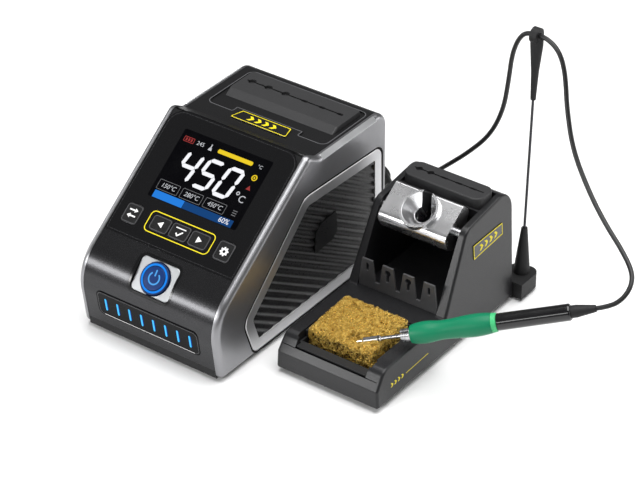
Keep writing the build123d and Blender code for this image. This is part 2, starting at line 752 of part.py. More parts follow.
eye_up = eye_point[2] - 12
with BuildPart() as rod_clip:
    with BuildSketch(rod_plane.offset(clip_start - 12)):
        Circle(1.6)
    with BuildSketch(rod_plane.offset(clip_start - 12 + 18)):
        Circle(2.3)
    loft()
    with BuildSketch(rod_plane.offset(clip_start - 12 + 18)):
        Circle(2.3)
    with BuildSketch(rod_plane.offset(eye_up - 6)):
        Ellipse(3.0, 4.0)
    loft()
    with BuildSketch(rod_plane.offset(eye_up - 6)):
        Ellipse(3.0, 4.0)
    extrude(amount=6.0)
    with BuildSketch(Plane(place(eye_point), x_dir=(0, 1, 0), z_dir=(1, 0, 0))):
        Circle(4.6)
    extrude(amount=2.2, both=True)
    with BuildSketch(Plane(place(eye_point), x_dir=(0, 1, 0), z_dir=(1, 0, 0))):
        Circle(cord_d / 2 + 0.5)
    extrude(amount=9, both=True, mode=Mode.SUBTRACT)
    with BuildSketch(rod_plane.offset(clip_start - 12 - 1)):
        Circle(0.82)
    extrude(amount=7.2, mode=Mode.SUBTRACT)
keep(rod_clip, "rod_clip")

# ------------------------------------------------------------------ iron
axis_side = Vector(-iron_way[1], iron_way[0], 0).normalized()
iron_plane = Plane(place(tip_point), x_dir=iron_way, z_dir=axis_side)
iron_axis = Axis(place(tip_point), iron_way)


def turned(name, points):
    """A turned piece from (distance from the tip, radius) points, closed on the iron's axis."""
    with BuildPart() as piece:
        with BuildSketch(iron_plane):
            with BuildLine():
                Polyline((points[0][0], 0), *points, (points[-1][0], 0), close=True)
            make_face()
        revolve(axis=iron_axis)
    keep(piece, name)


turned("cartridge", [
    (0, 0.5), (3.6, 1.5), (4.2, 2.0), (12.6, 2.0), (12.8, 1.7), (13.4, 1.7), (13.6, 2.0),
    (14.2, 2.0), (14.6, 1.1), (grip_start + 6, 1.1),
])

with BuildPart() as collet:
    with BuildSketch(tip_plane.offset(26.4)):
        Circle(3.7)
        Circle(1.6, mode=Mode.SUBTRACT)
    extrude(amount=grip_start + 1.5 - 26.4)
    with BuildSketch(tip_plane.offset(26)):
        with PolarLocations(0, 3):
            with Locations((3, 0)):
                Rectangle(6, 1.2)
    extrude(amount=5.2, mode=Mode.SUBTRACT)
keep(collet, "collet")

with BuildPart() as grip:
    with BuildSketch(iron_plane):
        with BuildLine():
            front = Line((grip_start + 1.6, 0), (grip_start + 1.6, 3.9))
            nose = Spline(
                (grip_start + 1.6, 3.9), (grip_start, 4.6), (grip_start + 5, 6.1), (grip_start + 16, 5.6),
                (grip_start + 38, 6.5), (grip_end - 3, 5.7),
            )
            Polyline(nose @ 1, (grip_end - 3, 0), front @ 0)
        make_face()
    revolve(axis=iron_axis)
    with BuildSketch(tip_plane.offset(grip_start)):
        Circle(1.2)
    extrude(amount=6.5, mode=Mode.SUBTRACT)
keep(grip, "grip")

turned("grip_ring", [(grip_end - 2.95, 5.6), (grip_end - 0.5, 5.4), (grip_end, 5.0)])
turned("handle_tube", [(grip_end + 0.05, 4.9), (tube_end - 1, 4.9), (tube_end, 4.3)])

with BuildPart() as strain_relief:
    with BuildSketch(iron_plane):
        with BuildLine():
            relief_points = [(tube_end + 0.05, 3.6), (tube_end + 3, 3.6), (iron_length, 2.0)]
            Polyline((tube_end + 0.05, 0), *relief_points, (iron_length, 0), close=True)
        make_face()
    revolve(axis=iron_axis)
    with BuildSketch(tip_plane.offset(iron_length - 4)):
        Circle(cord_d / 2)
    extrude(amount=6, mode=Mode.SUBTRACT)
keep(strain_relief, "strain_relief")

# ------------------------------------------------------------------ cord
plug_face = 2.02
with BuildPart() as cord_plug:
    with BuildSketch(plug_plane.offset(plug_face)):
        Circle(6.4)
    extrude(amount=13.0)
    with BuildSketch(plug_plane.offset(plug_face - 5)):
        Circle(4.7)
    extrude(amount=5.0)
    with BuildSketch(plug_plane.offset(plug_face + 13)):
        Circle(4.0)
    with BuildSketch(plug_plane.offset(plug_end - rear_y)):
        Circle(2.1)
    loft()
keep(cord_plug, "cord_plug")

tail = tuple(a + iron_length * b for a, b in zip(tip_point, iron_way))
ring_height = 3 * cord_d + 0.1
rear_route = [(plug_x, plug_end, plug_z), (-28, 181.5, 19.4), (-26.4, 192, 12.5), (-25, 203.5, 6.4)]
rise_route = [
    (4, 212, 7.2), (19, 197.5, 9.4), (32, 187, 17), (45.5, 178.5, 30), (60, 172, 45.5), (75.5, 168.5, 60.5),
    (92, 168, 76.5), (107, 168, 94), (115.5, 168, 114), (118.3, 167.9, 135), (120.3, 167.1, 152.7),
    (123.8, 166.5, 163.1), (127.6, 165.8, 168.9), (132.2, 164.96, 171.8), eye_point,
]
lead_route = [
    eye_point, (144.4, 162.8, 173.6), (151.9, 161.3, 171.2), (157.4, 159.9, 165.6), (161.4, 158.1, 155.4),
    (166, 153.5, 139.5), (176, 145.5, 120), (193, 136.5, 103.5), (209.4, 127.8, 93.2), (224.9, 120.4, 86),
    (236, 113.3, 80.4), (239.7, 107.4, 75.9), (239.1, 100.9, 70.7), (234.7, 95.3, 66.4), tail,
]


def cord_tube(name, route):
    """A tube along straight runs joined by tangent arcs, each arc as large as its two runs allow."""
    points = [Vector(*place(point)) for point in route]
    radii = []
    for before, here, after in zip(points, points[1:], points[2:]):
        turn = (here - before).get_angle(after - here)
        shorter = min((here - before).length, (after - here).length)
        radii.append(0.45 * shorter / math.tan(math.radians(turn / 2)))
        print(f"{name}: run {shorter:.1f} turn {turn:.0f} radius {radii[-1]:.1f}")
    with BuildPart() as tube:
        with BuildLine():
            path = FilletPolyline(*points, radius=radii)
        with BuildSketch(Plane(path @ 0, z_dir=path % 0)):
            Circle(cord_d / 2)
        sweep(path=path)
    ideal = math.pi * cord_d ** 2 / 4 * path.length
    print(f"{name}: length {path.length:.1f} volume ratio {tube.part.volume / ideal:.4f}")
    keep(tube, name)


cord_tube("cord_rear", rear_route)
cord_tube("cord_rise", rise_route)
cord_tube("cord_lead", lead_route)

with BuildPart() as cord_coil:
    with BuildSketch(Plane(place((coil_x, coil_y, 0)), x_dir=(1, 0, 0), z_dir=(0, -1, 0))):
        with Locations((coil_radius, ring_height / 2 + 0.05)):
            RectangleRounded(2 * cord_d + 0.2, ring_height, 1.2)
    revolve(axis=Axis(place((coil_x, coil_y, 0)), (0, 0, 1)))
keep(cord_coil, "cord_coil")
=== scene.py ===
import math
import random

import bpy
from mathutils import Matrix, Vector


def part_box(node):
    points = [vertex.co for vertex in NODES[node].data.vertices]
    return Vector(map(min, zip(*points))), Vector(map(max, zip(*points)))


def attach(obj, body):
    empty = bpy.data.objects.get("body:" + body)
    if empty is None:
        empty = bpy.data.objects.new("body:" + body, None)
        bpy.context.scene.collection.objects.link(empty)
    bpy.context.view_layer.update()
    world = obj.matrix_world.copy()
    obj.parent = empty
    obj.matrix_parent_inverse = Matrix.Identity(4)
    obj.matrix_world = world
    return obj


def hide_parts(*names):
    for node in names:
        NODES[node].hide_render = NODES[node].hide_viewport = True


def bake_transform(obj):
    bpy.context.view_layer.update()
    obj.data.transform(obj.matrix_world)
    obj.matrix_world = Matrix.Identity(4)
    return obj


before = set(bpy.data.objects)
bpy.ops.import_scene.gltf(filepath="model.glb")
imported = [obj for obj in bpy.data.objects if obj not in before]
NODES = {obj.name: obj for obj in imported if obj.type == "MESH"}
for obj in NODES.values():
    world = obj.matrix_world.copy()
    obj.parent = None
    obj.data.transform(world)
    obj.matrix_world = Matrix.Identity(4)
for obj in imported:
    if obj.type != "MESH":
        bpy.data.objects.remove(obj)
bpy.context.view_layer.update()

MM = 0.001

# ---------------------------------------------------------------- places
# "at" takes millimetres from the console's middle, the lower edge of the display glass and the bench.
glass_low, glass_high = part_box("display_glass")
ORIGIN = Vector(((glass_low.x + glass_high.x) / 2, glass_low.y, 0))
STAND_X = 102.9
SLOPE = math.radians(35.9)
EDGE_Z = 60.0
CORE_HALF = 46.6
GLASS_LENGTH = 82.9
GLASS_CORNER = 10.5
CONSOLE_HALF = 51.0


def at(x, y, z):
    return ORIGIN + Vector((x, y, z)) * MM


def plane(origin, x_dir, normal):
    """A matrix whose local x, y and z are x_dir, normal cross x_dir and normal."""
    z = Vector(normal).normalized()
    x = Vector(x_dir)
    x = (x - z * x.dot(z)).normalized()
    y = z.cross(x)
    m = Matrix((x, y, z)).transposed().to_4x4()
    m.translation = origin
    return m


GLASS = plane(at(0, 0, EDGE_Z), (1, 0, 0), (0, -math.sin(SLOPE), math.cos(SLOPE)))
POWER = plane(at(0, -11.6, 49.2), (1, 0, 0), (0, -math.sin(math.radians(49)), math.cos(math.radians(49))))
LED = plane(at(0, -19.7, 23.2), (1, 0, 0), (0, -math.sin(math.radians(98.5)), math.cos(math.radians(98.5))))
CAP_Z = 103.6
CAP = plane(at(0, 0, CAP_Z), (1, 0, 0), (0, 0, 1))


def side(way, distance):
    """Local x runs to the rear and local y up, on the right (1) or the left (-1) of the console."""
    m = Matrix(((0, 0, 1), (1, 0, 0), (0, 1, 0))).to_4x4()
    m.translation = at(way * distance, 0, 0)
    return m


# ---------------------------------------------------------------- camera
AZIMUTH = math.radians(36.309)
ELEVATION = math.radians(33.627)
ROLL = math.radians(-0.162)
camera_data = bpy.data.cameras.new("camera")
camera_data.lens = 146.2
camera_data.sensor_width = 36
camera_data.clip_start = 0.05
camera_data.clip_end = 20
camera = bpy.data.objects.new("camera", camera_data)
bpy.context.scene.collection.objects.link(camera)
back = Vector((
    math.sin(AZIMUTH) * math.cos(ELEVATION), -math.cos(AZIMUTH) * math.cos(ELEVATION), math.sin(ELEVATION),
))
right = Vector((math.cos(AZIMUTH), math.sin(AZIMUTH), 0))
turned = Matrix((right, back.cross(right), back)).transposed().to_4x4() @ Matrix.Rotation(ROLL, 4, "Z")
turned.translation = at(54.04, 72.70, 51.37) + back * 1.5006
camera.matrix_world = turned
bpy.context.scene.camera = camera

# ---------------------------------------------------------------- the cord's line
CORD_D = 2.8
COIL = (-8.0, 200.0)
TAIL = tuple(a + 138.0 * b for a, b in zip((108.4, 33.5, 25.0), (0.862, 0.4215, 0.283)))
REAR = [(-28, 171, 20), (-28, 181.5, 19.4), (-26.4, 192, 12.5)]
RISE = [
    (19, 197.5, 9.4), (32, 187, 17), (45.5, 178.5, 30), (60, 172, 45.5), (75.5, 168.5, 60.5),
    (92, 168, 76.5), (107, 168, 94), (115.5, 168, 114), (118.3, 167.9, 135), (120.3, 167.1, 152.7),
    (123.8, 166.5, 163.1), (127.6, 165.8, 168.9), (132.2, 164.96, 171.8), (137.6, 164.0, 172.6),
]
LEAD = [
    (144.4, 162.8, 173.6), (151.9, 161.3, 171.2), (157.4, 159.9, 165.6), (161.4, 158.1, 155.4),
    (166, 153.5, 139.5), (176, 145.5, 120), (193, 136.5, 103.5), (209.4, 127.8, 93.2), (224.9, 120.4, 86),
    (236, 113.3, 80.4), (239.7, 107.4, 75.9), (239.1, 100.9, 70.7), (234.7, 95.3, 66.4), TAIL,
]


def coil_points():
    """Six and a bit turns, two wide and three high: down the outer column and up the inner one."""
    places = [(18.4, 7.1), (18.4, 4.3), (18.4, 1.5), (15.6, 1.5), (15.6, 4.3), (15.6, 7.1), (17.0, 7.2)]
    turns, steps, made = 6.375, 16, []
    for number in range(int(turns * steps) + 1):
        u = number / steps
        here = min(int(u), 5)
        part = max(0.0, (u - here - 0.75) / 0.25) if here < 5 else 0.0
        if u > 6:
            here, part = 5, (u - 6) / 0.375
        if u < 0.25:
            first = u / 0.25
            radius, height = 17.4 + first, 6.9 + 0.2 * first
        else:
            a, b = places[here], places[here + 1]
            radius, height = a[0] + (b[0] - a[0]) * part, a[1] + (b[1] - a[1]) * part
        angle = math.pi - 2 * math.pi * u
        made.append((COIL[0] + radius * math.cos(angle), COIL[1] + radius * math.sin(angle), height))
    return made


def nurbs_line(points):
    """The points that a smooth spline through the route's control points gives, in metres."""
    curve = bpy.data.curves.new("line", "CURVE")
    curve.dimensions = "3D"
    spline = curve.splines.new("NURBS")
    spline.points.add(len(points) - 1)
    for place, point in zip(spline.points, points):
        place.co = (*at(*point), 1)
    spline.order_u = 3
    spline.use_endpoint_u = True
    curve.resolution_u = 6
    holder = bpy.data.objects.new("line", curve)
    bpy.context.scene.collection.objects.link(holder)
    mesh = bpy.data.meshes.new_from_object(holder)
    line = [v.co.copy() for v in mesh.vertices]
    bpy.data.objects.remove(holder)
    return line


def tube_mesh(name, line, radius, sides=12):
    """A tube with flat ends round a line of points, turned as little as it can be from ring to ring."""
    verts, faces = [], []
    ways = [(b - a).normalized() for a, b in zip(line, line[1:])]
    ways = [ways[0]] + [(a + b).normalized() for a, b in zip(ways, ways[1:])] + [ways[-1]]
    across = ways[0].orthogonal().normalized()
    for point, way in zip(line, ways):
        across = (across - way * across.dot(way)).normalized()
        other = way.cross(across)
        for k in range(sides):
            turn = 2 * math.pi * k / sides
            verts.append(point + (across * math.cos(turn) + other * math.sin(turn)) * radius)
    for ring in range(len(line) - 1):
        for k in range(sides):
            a, b = ring * sides + k, ring * sides + (k + 1) % sides
            faces.append((a, b, b + sides, a + sides))
    faces.append(tuple(reversed(range(sides))))
    faces.append(tuple(range((len(line) - 1) * sides, len(line) * sides)))
    mesh = bpy.data.meshes.new(name)
    mesh.from_pydata(verts, [], faces)
    return mesh


# ---------------------------------------------------------------- materials
def link(tree, a, b):
    tree.links.new(a, b)


def node(tree, kind, **values):
    made = tree.nodes.new(kind)
    for key, value in values.items():
        setattr(made, key, value)
    return made


def material(name, color, rough=0.5, metal=0.0, coat=0.0, coat_rough=0.05, spec=0.5, grain=0.0, grain_scale=1500.0,
             blotch=0.12, blotch_scale=60.0, rough_by=0.08, emission=None, strength=0.0,
             color_two=None):
    """A surface whose colour and roughness wander a little, with a fine grain in the bump."""
    mat = bpy.data.materials.new(name)
    mat.use_nodes = True
    tree = mat.node_tree
    shader = tree.nodes["Principled BSDF"]
    shader.inputs["Metallic"].default_value = metal
    shader.inputs["Specular IOR Level"].default_value = spec
    shader.inputs["Coat Weight"].default_value = coat
    shader.inputs["Coat Roughness"].default_value = coat_rough
    where = node(tree, "ShaderNodeTexCoord")
    broad = node(tree, "ShaderNodeTexNoise")
    broad.inputs["Scale"].default_value = blotch_scale
    broad.inputs["Detail"].default_value = 4
    link(tree, where.outputs["Object"], broad.inputs["Vector"])
    fine = node(tree, "ShaderNodeTexNoise")
    fine.inputs["Scale"].default_value = grain_scale
    fine.inputs["Detail"].default_value = 3
    link(tree, where.outputs["Object"], fine.inputs["Vector"])
    mix = node(tree, "ShaderNodeMix", data_type="RGBA")
    low = [c * (1 - blotch) for c in color]
    high = [min(1, c * (1 + blotch)) for c in (color_two or color)]
    mix.inputs["A"].default_value = (*low, 1)
    mix.inputs["B"].default_value = (*high, 1)
    link(tree, broad.outputs["Fac"], mix.inputs["Factor"])
    link(tree, mix.outputs["Result"], shader.inputs["Base Color"])
    spread = node(tree, "ShaderNodeMapRange")
    spread.inputs["From Min"].default_value = 0.3
    spread.inputs["From Max"].default_value = 0.7
    spread.inputs["To Min"].default_value = max(0.02, rough - rough_by)
    spread.inputs["To Max"].default_value = rough + rough_by
    link(tree, (fine if grain else broad).outputs["Fac"], spread.inputs["Value"])
    link(tree, spread.outputs["Result"], shader.inputs["Roughness"])
    if grain:
        bump = node(tree, "ShaderNodeBump")
        bump.inputs["Strength"].default_value = grain
        bump.inputs["Distance"].default_value = 0.0002
        link(tree, fine.outputs["Fac"], bump.inputs["Height"])
        link(tree, bump.outputs["Normal"], shader.inputs["Normal"])
    if emission:
        shader.inputs["Emission Color"].default_value = (*emission, 1)
        shader.inputs["Emission Strength"].default_value = strength
    return mat


def glow(name, color, strength=1.0):
    """A lit mark behind the glass: all its colour is its own light."""
    return material(name, (0.002, 0.002, 0.002), 0.5, spec=0.0, blotch=0.0, emission=color, strength=strength)


M = {
    "fascia": material("fascia_metallic", (0.034, 0.034, 0.036), 0.25, 0.8, coat=0.08, coat_rough=0.12, spec=0.3,
                       grain=0.05, grain_scale=2600, rough_by=0.05),
    "shell": material("shell_gunmetal", (0.25, 0.25, 0.26), 0.34, 0.95, coat=0.1, coat_rough=0.15, grain=0.05,
                      grain_scale=2600, rough_by=0.05),
    "cap": material("cap_satin", (0.007, 0.007, 0.0075), 0.34, 0.0, spec=0.25, coat=0.05, coat_rough=0.2, grain=0.08,
                    grain_scale=2200),
    "stand": material("stand_satin", (0.011, 0.011, 0.012), 0.34, 0.0, spec=0.30, coat=0.05, coat_rough=0.25,
                      grain=0.12, grain_scale=1900),
    "glass": material("display_black_glass", (0.003, 0.003, 0.0035), 0.08, 0.0, spec=0.4, coat=0.5, coat_rough=0.03,
                      rough_by=0.02, blotch=0.02),
    "gloss": material("gloss_black", (0.005, 0.005, 0.0055), 0.16, 0.0, spec=0.4, coat=0.4, coat_rough=0.06,
                      rough_by=0.03),
    "matte": material("matte_black", (0.009, 0.009, 0.0095), 0.55, 0.0, spec=0.3, grain=0.2, grain_scale=1600),
    "pad": material("pad_rubber", (0.022, 0.022, 0.023), 0.5, 0.0, spec=0.35, grain=0.2, grain_scale=1600),
    "rubber": material("soft_rubber", (0.009, 0.009, 0.0095), 0.60, 0.0, spec=0.3, grain=0.25, grain_scale=1300),
    "key": material("key_top", (0.006, 0.006, 0.0065), 0.34, 0.0, spec=0.35, grain=0.06),
    "plate": material("satin_plate", (0.40, 0.41, 0.42), 0.33, 1.0, rough_by=0.03),
    "bezel": material("bezel_black", (0.004, 0.004, 0.0045), 0.22, 0.0, spec=0.35, coat=0.15),
    "led_black": material("led_black", (0.0015, 0.0015, 0.002), 0.25, 0.0, spec=0.08, blotch=0.02),
    "rib": material("rib_black", (0.006, 0.006, 0.0065), 0.32, 0.0, spec=0.32, grain=0.02),
    "tab": material("tab_grey", (0.075, 0.075, 0.078), 0.38, 0.4, grain=0.03),
    "frame": material("brushed_frame", (0.60, 0.60, 0.61), 0.36, 1.0, blotch=0.05, rough_by=0.03),
    "strip": material("bright_strip", (0.68, 0.69, 0.70), 0.34, 1.0, rough_by=0.03),
    "holder": material("satin_aluminium", (0.66, 0.66, 0.67), 0.27, 1.0, blotch=0.04, rough_by=0.03),
    "steel": material("bright_steel", (0.50, 0.50, 0.51), 0.28, 1.0, grain=0.08, grain_scale=900),
    "chrome": material("polished_steel", (0.74, 0.74, 0.75), 0.12, 1.0, rough_by=0.05, grain=0.03),
    "dark_ring": material("dark_band", (0.03, 0.03, 0.032), 0.4, 0.4, grain=0.1),
    "rod": material("dark_steel", (0.05, 0.05, 0.055), 0.32, 0.9, grain=0.06),
    "cord": material("silicone_cord", (0.007, 0.007, 0.0075), 0.40, 0.0, spec=0.35, coat=0.1, coat_rough=0.3,
                     grain=0.12, grain_scale=2500),
    "grip": material("green_silicone", (0.0, 0.165, 0.075), 0.42, 0.0, spec=0.3, grain=0.14, grain_scale=2000,
                     blotch=0.15),
    "grip_ring": material("light_green", (0.05, 0.42, 0.16), 0.35, 0.0, spec=0.3, grain=0.05),
    "brass": material("brass_curl", (0.58, 0.36, 0.055), 0.30, 0.9, rough_by=0.10, blotch=0.15, blotch_scale=420,
                      color_two=(0.80, 0.59, 0.17)),
    # painted shade: the wool's bed is coloured dark brown to stand for the shade deep among the curls
    "brass_painted_shade": material("brass_shade_below", (0.07, 0.034, 0.006), 0.6, 0.5, rough_by=0.15, blotch=0.4, blotch_scale=300,
                           grain=0.5, grain_scale=900),
    "board": material("green_board", (0.01, 0.09, 0.04), 0.4, 0.0, coat=0.4, grain=0.1),
    "tape": material("yellow_tape", (0.55, 0.40, 0.05), 0.35, 0.0, grain=0.1),
    "heat_sink": material("raw_aluminium", (0.5, 0.5, 0.51), 0.4, 1.0, grain=0.1),
    "yellow": material("yellow_print", (0.66, 0.55, 0.015), 0.42, 0.0, spec=0.2, grain=0.05),
    "white_print": material("white_print", (0.72, 0.72, 0.72), 0.45, 0.0, spec=0.2, grain=0.05),
    # grey print on the glass and the keys; the same grey also paints the highlight along the cap recess's edge
    "grey_print_and_highlight": material("grey_print_and_highlight", (0.085, 0.085, 0.09), 0.4, 0.0, spec=0.2, grain=0.05),
    "groove": material("dark_groove", (0.002, 0.002, 0.002), 0.6, 0.0, spec=0.1, grain=0.1),
    # painted highlight: thin bright lines that stand for light caught by the rounded rims of the glass and the
    # light-bar panel
    "edge": material("painted_edge_highlight", (0.11, 0.11, 0.115), 0.25, 0.9, coat=0.2, grain=0.03),
    "lcd_back": material("lcd_back", (0.001, 0.001, 0.0015), 0.2, 0.0, spec=0.08, blotch=0.0),
    "glow_white": glow("glow_white", (0.95, 0.96, 1.0), 1.0),
    "glow_soft": glow("glow_soft_white", (0.72, 0.74, 0.78), 0.8),
    "glow_yellow": glow("glow_yellow", (0.86, 0.62, 0.02), 1.0),
    "glow_red": glow("glow_red", (0.42, 0.05, 0.05), 0.8),
    "glow_blue": glow("glow_blue", (0.018, 0.21, 0.74), 1.0),
    "glow_deep": glow("glow_deep_blue", (0.006, 0.055, 0.20), 1.0),
    "bar_edge": glow("bar_edge_blue", (0.002, 0.07, 0.50), 1.0),
    "bar_core": glow("bar_core_blue", (0.09, 0.58, 1.0), 1.15),
    "ring_blue": glow("ring_blue", (0.012, 0.24, 0.86), 1.1),
    "ring_navy": material("ring_navy", (0.004, 0.018, 0.075), 0.35, 0.0, spec=0.15),
    "button": material("button_blue", (0.004, 0.024, 0.11), 0.32, 0.0, spec=0.15, coat=0.05),
    "symbol": glow("symbol_blue", (0.10, 0.42, 0.90), 1.0),
}


# ---------------------------------------------------------------- shapes
def shade(mesh, angle=32):
    mesh.polygons.foreach_set("use_smooth", [True] * len(mesh.polygons))
    mesh.set_sharp_from_angle(angle=math.radians(angle))
    mesh.update()


def piece(name, mesh, mat, body="station", angle=32):
    """Puts a mesh in the scene as a piece of the object that moves with a body."""
    obj = bpy.data.objects.new(name, mesh)
    obj.name = name
    bpy.context.scene.collection.objects.link(obj)
    mesh.materials.clear()
    mesh.materials.append(M[mat])
    shade(mesh, angle)
    if body:
        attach(obj, body)
    return obj


def rounded(points, radius, steps=6):
    """A closed outline with its corners turned into arcs of a radius, or of one radius each."""
    count = len(points)
    radii = radius if isinstance(radius, (list, tuple)) else [radius] * count
    made = []
    for k, r in enumerate(radii):
        here = Vector(points[k])
        before, after = Vector(points[k - 1]) - here, Vector(points[(k + 1) % count]) - here
        if r <= 0:
            made.append(tuple(here))
            continue
        half = before.angle(after) / 2
        reach = min(r / math.tan(half), 0.49 * before.length, 0.49 * after.length)
        r = reach * math.tan(half)
        start, end = here + before.normalized() * reach, here + after.normalized() * reach
        middle = here + (before.normalized() + after.normalized()).normalized() * (r / math.sin(half))
        a, b = start - middle, end - middle
        whole = a.angle_signed(b)
        for step in range(steps + 1):
            turn = -whole * step / steps
            made.append(tuple(middle + Vector((
                a.x * math.cos(turn) - a.y * math.sin(turn), a.x * math.sin(turn) + a.y * math.cos(turn),
            ))))
    return made


def rectangle(x, y, width, height, radius=0.0):
    corners = [(x - width / 2, y - height / 2), (x + width / 2, y - height / 2),
               (x + width / 2, y + height / 2), (x - width / 2, y + height / 2)]
    return rounded(corners, radius) if radius else corners


def circle(x, y, radius, steps=40):
    return [(x + radius * math.cos(2 * math.pi * k / steps), y + radius * math.sin(2 * math.pi * k / steps))
            for k in range(steps)]


def prism_mesh(name, matrix, outlines, low, high, bevel=0.0):
    """A flat piece between two heights above a plane, from outlines in millimetres; inner ones are holes."""
    curve = bpy.data.curves.new(name, "CURVE")
    curve.dimensions = "2D"
    curve.fill_mode = "BOTH"
    for outline in outlines:
        spline = curve.splines.new("POLY")
        spline.points.add(len(outline) - 1)
        for place, (x, y) in zip(spline.points, outline):
            place.co = (x * MM, y * MM, 0, 1)
        spline.use_cyclic_u = True
    curve.extrude = max(0.0, (high - low) / 2 - bevel) * MM
    curve.bevel_depth = bevel * MM
    curve.bevel_resolution = 2
    curve.offset = -bevel * MM
    holder = bpy.data.objects.new(name, curve)
    bpy.context.scene.collection.objects.link(holder)
    bpy.context.view_layer.update()
    mesh = bpy.data.meshes.new_from_object(holder.evaluated_get(bpy.context.evaluated_depsgraph_get()))
    bpy.data.objects.remove(holder)
    mesh.transform(matrix @ Matrix.Translation((0, 0, (low + high) / 2 * MM)))
    mesh.name = name
    return mesh


def plate(name, matrix, outlines, low, high, mat, body="station", bevel=0.0, slot=None):
    return piece(name, prism_mesh(name, matrix, outlines, low, high, bevel), mat, body)


def join(name, meshes, mat, body="station", angle=32):
    """Several meshes of one material as one piece."""
    verts, faces = [], []
    for mesh in meshes:
        base = len(verts)
        verts += [v.co.copy() for v in mesh.vertices]
        faces += [tuple(base + i for i in p.vertices) for p in mesh.polygons]
    made = bpy.data.meshes.new(name)
    made.from_pydata(verts, [], faces)
    return piece(name, made, mat, body, angle)


def ring_outlines(outline_of, width):
    """An outline and the same one a width further in, as a printed line."""
    return [outline_of(0), outline_of(width)]


def letters(name, text, matrix, x, y, size, lift, shear=0.0, thick=0.03):
    """Numbers in the plain built-in face, as a mesh on a plane."""
    curve = bpy.data.curves.new(name, "FONT")
    curve.body = text
    curve.size = size * MM
    curve.shear = shear
    curve.extrude = thick / 2 * MM
    curve.align_x = "CENTER"
    curve.align_y = "CENTER"
    curve.resolution_u = 4
    holder = bpy.data.objects.new(name, curve)
    bpy.context.scene.collection.objects.link(holder)
    bpy.context.view_layer.update()
    mesh = bpy.data.meshes.new_from_object(holder.evaluated_get(bpy.context.evaluated_depsgraph_get()))
    bpy.data.objects.remove(holder)
    mesh.transform(matrix @ Matrix.Translation((x * MM, y * MM, lift * MM)))
    return mesh


def lathe_mesh(name, matrix, profile, sides=48):
    """A turned piece about a plane's normal, from (height, radius) points in millimetres."""
    verts, faces = [], []
    for height, radius in profile:
        for k in range(sides):
            turn = 2 * math.pi * k / sides
            verts.append(matrix @ Vector((radius * MM * math.cos(turn), radius * MM * math.sin(turn), height * MM)))
    for ring in range(len(profile) - 1):
        for k in range(sides):
            a, b = ring * sides + k, ring * sides + (k + 1) % sides
            faces.append((a, b, b + sides, a + sides))
    faces.append(tuple(reversed(range(sides))))
    faces.append(tuple(range((len(profile) - 1) * sides, len(profile) * sides)))
    mesh = bpy.data.meshes.new(name)
    mesh.from_pydata(verts, [], faces)
    return mesh


# ---------------------------------------------------------------- CAD nodes
def crease_group():
    """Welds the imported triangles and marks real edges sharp, so that bevels and shading can follow them."""
    tree = bpy.data.node_groups.new("weld_and_crease", "GeometryNodeTree")
    tree.interface.new_socket("Geometry", in_out="INPUT", socket_type="NodeSocketGeometry")
    tree.interface.new_socket("Geometry", in_out="OUTPUT", socket_type="NodeSocketGeometry")
    start, end = node(tree, "NodeGroupInput"), node(tree, "NodeGroupOutput")
    bare = node(tree, "GeometryNodeRemoveAttribute")
    bare.inputs["Name"].default_value = "custom_normal"
    weld = node(tree, "GeometryNodeMergeByDistance")
    weld.inputs["Distance"].default_value = 2e-6
    faces = node(tree, "GeometryNodeSetShadeSmooth", domain="FACE")
    faces.inputs["Shade Smooth"].default_value = True
    edges = node(tree, "GeometryNodeSetShadeSmooth", domain="EDGE")
    edges.inputs["Shade Smooth"].default_value = False
    angle = node(tree, "GeometryNodeInputMeshEdgeAngle")
    compare = node(tree, "FunctionNodeCompare", data_type="FLOAT", operation="GREATER_THAN")
    compare.inputs["B"].default_value = math.radians(28)
    link(tree, start.outputs[0], bare.inputs["Geometry"])
    link(tree, bare.outputs["Geometry"], weld.inputs["Geometry"])
    link(tree, weld.outputs["Geometry"], faces.inputs["Geometry"])
    link(tree, faces.outputs["Geometry"], edges.inputs["Geometry"])
    link(tree, angle.outputs["Unsigned Angle"], compare.inputs["A"])
    link(tree, compare.outputs["Result"], edges.inputs["Selection"])
    link(tree, edges.outputs["Geometry"], end.inputs[0])
    return tree


CREASE = crease_group()


def dress(name, mat, bevel=0.0):
    """A carried-over CAD node with its material, shading and small edge rounds."""
    obj = NODES[name]
    if obj.data.materials:
        obj.data.materials[0] = M[mat]
        for k in range(1, len(obj.data.materials)):
            obj.data.materials[k] = M[mat]
    else:
        obj.data.materials.append(M[mat])
    crease = obj.modifiers.new("crease", "NODES")
    crease.node_group = CREASE
    if bevel:
        flat = obj.modifiers.new("flat", "DECIMATE")
        flat.decimate_type = "DISSOLVE"
        flat.angle_limit = math.radians(0.4)
        edge = obj.modifiers.new("edge", "BEVEL")
        edge.width = bevel * MM
        edge.segments = 2
        edge.limit_method = "ANGLE"
        edge.angle_limit = math.radians(35)
        edge.use_clamp_overlap = True
        edge.miter_outer = "MITER_ARC"
        even = obj.modifiers.new("even", "WEIGHTED_NORMAL")
        even.keep_sharp = True
    return obj


